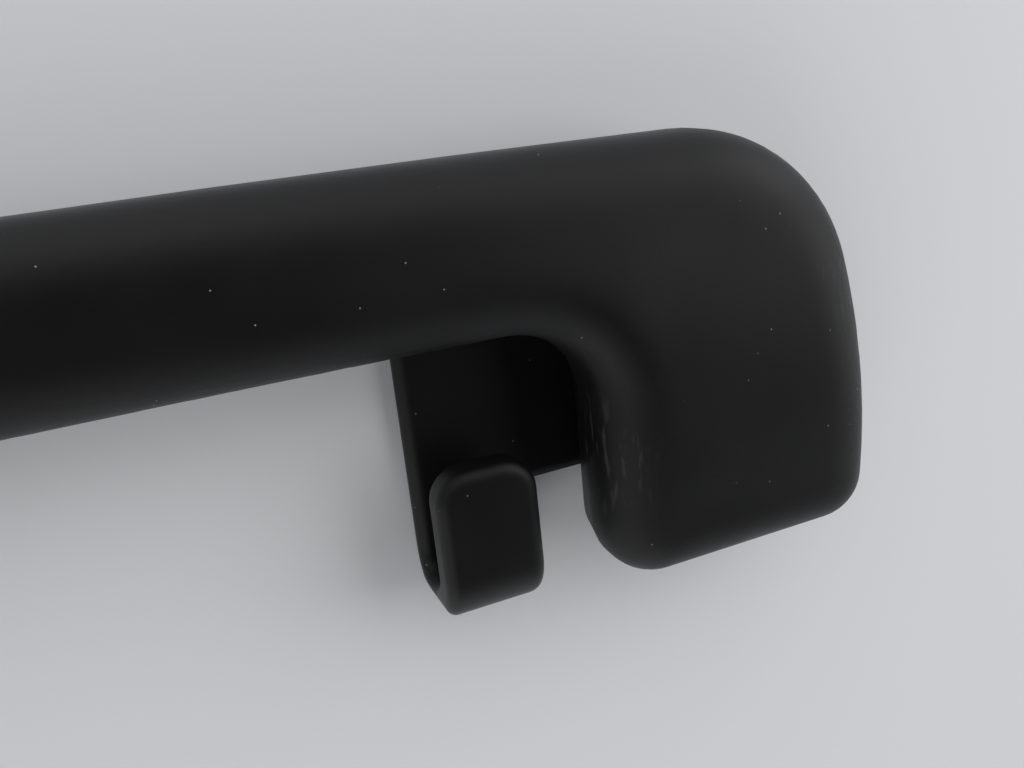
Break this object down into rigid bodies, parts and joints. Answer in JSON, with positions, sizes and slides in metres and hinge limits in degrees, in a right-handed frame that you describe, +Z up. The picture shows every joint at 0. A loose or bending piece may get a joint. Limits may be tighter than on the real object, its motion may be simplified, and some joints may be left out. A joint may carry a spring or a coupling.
{
  "type": "roof grab handle",
  "caption": "Folding vehicle roof grab handle: a smooth arched bar running into broad rounded pads, sprung and damped hinge brackets behind them, and a coat hook at one end.",
  "frame": {"origin": "on the roof face, midway between the axes of the two mounting screws", "axes": "+X along the bar towards the coat hook's end, +Y into the roof, +Z up from the hinge to the bar; the front faces -Y"},
  "size_m": [0.232, 0.0195, 0.0558],
  "materials": {
    "grip_black": "soft satin, finely grained",
    "bracket_black": "satin, moulded",
    "pin_steel": "zinc plated",
    "spring_steel": "drawn wire, oiled",
    "damper_plastic": "natural, moulded",
    "buffer_rubber": "matt"
  },
  "bodies": {
    "mount": {"hook_bracket": "bracket_black", "plain_bracket": "bracket_black", "hook_end_screw_cover": "bracket_black", "plain_end_screw_cover": "bracket_black", "hook_end_pin": "pin_steel", "plain_end_pin": "pin_steel", "hook_end_bush": "pin_steel", "plain_end_bush": "pin_steel", "return_spring": "spring_steel", "damper_rotor": "damper_plastic"},
    "handle": {"handle_grip": "grip_black", "damper_case": "damper_plastic", "damper_cap": "damper_plastic", "damper_seal_inner": "buffer_rubber", "damper_seal_outer": "buffer_rubber", "hook_end_buffer": "buffer_rubber", "plain_end_buffer": "buffer_rubber"}
  },
  "joints": [
    {"name": "handle_swing", "type": "hinge", "parent": "mount", "child": "handle", "pos_m": [0, -0.0108, -0.023], "axis": [1, 0, 0], "range_deg": [0, 90], "stiffness_Nm_per_rad": 0.08, "springref_deg": -57.3, "deforming": ["return_spring"]}
  ]
}
